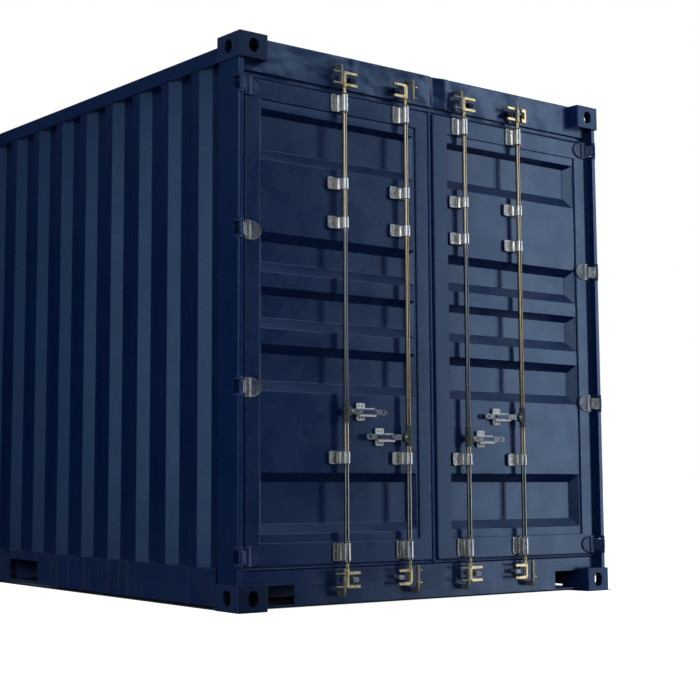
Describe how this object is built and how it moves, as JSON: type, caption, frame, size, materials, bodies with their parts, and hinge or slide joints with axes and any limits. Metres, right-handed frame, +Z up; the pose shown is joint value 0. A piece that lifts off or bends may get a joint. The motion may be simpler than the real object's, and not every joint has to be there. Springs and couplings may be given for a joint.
{
  "type": "shipping container",
  "caption": "Short steel freight container with ribbed walls, double end doors, turning locking bars with lifting handles, forklift pockets and corner castings.",
  "frame": {"origin": "middle of the footprint, on the ground", "axes": "+X across, to the right when facing the doors; +Y along, from the door end at -Y to the blind end at +Y; +Z up"},
  "size_m": [2.438, 6.058, 2.591],
  "materials": {
    "blue_paint": "semi-gloss",
    "zinc": "satin",
    "yellow_zinc": "satin",
    "cream_paint": "satin",
    "dark_casting": "matte",
    "rubber_seal": "matte",
    "plywood": "matte"
  },
  "bodies": {
    "container": {"corner_castings_top": "blue_paint", "corner_castings_bottom": "blue_paint", "corner_posts_door": "blue_paint", "corner_posts_front": "blue_paint", "hinge_lugs": "blue_paint", "hinge_pins": "zinc", "top_side_rails": "blue_paint", "bottom_side_rails": "blue_paint", "pocket_rail_lintels": "blue_paint", "pocket_straps": "blue_paint", "door_header": "blue_paint", "door_sill": "blue_paint", "front_top_rail": "blue_paint", "front_bottom_rail": "blue_paint", "side_wall_left": "blue_paint", "side_wall_right": "blue_paint", "front_wall": "blue_paint", "roof_panel": "blue_paint", "floor_boards": "plywood", "cross_members": "blue_paint", "forklift_pocket_tops": "blue_paint", "forklift_pocket_sides": "blue_paint", "cam_keepers_top": "yellow_zinc", "cam_keepers_bottom": "yellow_zinc", "keeper_blocks": "blue_paint"},
    "door_left": {"door_left_frame": "blue_paint", "door_left_panel": "blue_paint", "door_left_gasket": "rubber_seal", "hinge_leaves_left": "zinc", "bar_guides_left": "zinc", "handle_catches_left": "cream_paint"},
    "door_right": {"door_right_frame": "blue_paint", "door_right_panel": "blue_paint", "door_right_gasket": "rubber_seal", "hinge_leaves_right": "zinc", "bar_guides_right": "zinc", "handle_catches_right": "cream_paint"},
    "lock_bar_1": {"locking_bar_1": "zinc", "bar_cams_1": "yellow_zinc", "handle_hub_1": "dark_casting"},
    "handle_1": {"handle_1": "zinc"},
    "lock_bar_2": {"locking_bar_2": "zinc", "bar_cams_2": "yellow_zinc", "handle_hub_2": "dark_casting"},
    "handle_2": {"handle_2": "zinc"},
    "lock_bar_3": {"locking_bar_3": "zinc", "bar_cams_3": "yellow_zinc", "handle_hub_3": "dark_casting"},
    "handle_3": {"handle_3": "zinc"},
    "lock_bar_4": {"locking_bar_4": "zinc", "bar_cams_4": "yellow_zinc", "handle_hub_4": "dark_casting"},
    "handle_4": {"handle_4": "zinc"}
  },
  "joints": [
    {"name": "door_left_hinge", "type": "hinge", "parent": "container", "child": "door_left", "pos_m": [-1.197, -3.014, 0], "axis": [0, 0, -1], "range_deg": [0, 265]},
    {"name": "door_right_hinge", "type": "hinge", "parent": "container", "child": "door_right", "pos_m": [1.197, -3.014, 0], "axis": [0, 0, 1], "range_deg": [0, 265]},
    {"name": "lock_bar_1_turn", "type": "hinge", "parent": "door_left", "child": "lock_bar_1", "pos_m": [-0.585, -3.01, 0], "axis": [0, 0, 1], "range_deg": [-105, 0]},
    {"name": "handle_1_lift", "type": "hinge", "parent": "lock_bar_1", "child": "handle_1", "pos_m": [-0.558, -3.01, 0.893], "axis": [0, 1, 0], "range_deg": [-15, 0]},
    {"name": "lock_bar_2_turn", "type": "hinge", "parent": "door_left", "child": "lock_bar_2", "pos_m": [-0.192, -3.01, 0], "axis": [0, 0, -1], "range_deg": [-105, 0]},
    {"name": "handle_2_lift", "type": "hinge", "parent": "lock_bar_2", "child": "handle_2", "pos_m": [-0.219, -3.01, 0.777], "axis": [0, -1, 0], "range_deg": [-15, 0]},
    {"name": "lock_bar_3_turn", "type": "hinge", "parent": "door_right", "child": "lock_bar_3", "pos_m": [0.212, -3.01, 0], "axis": [0, 0, 1], "range_deg": [-105, 0]},
    {"name": "handle_3_lift", "type": "hinge", "parent": "lock_bar_3", "child": "handle_3", "pos_m": [0.239, -3.01, 0.779], "axis": [0, 1, 0], "range_deg": [-15, 0]},
    {"name": "lock_bar_4_turn", "type": "hinge", "parent": "door_right", "child": "lock_bar_4", "pos_m": [0.602, -3.01, 0], "axis": [0, 0, -1], "range_deg": [-105, 0]},
    {"name": "handle_4_lift", "type": "hinge", "parent": "lock_bar_4", "child": "handle_4", "pos_m": [0.575, -3.01, 0.893], "axis": [0, -1, 0], "range_deg": [-15, 0]}
  ]
}
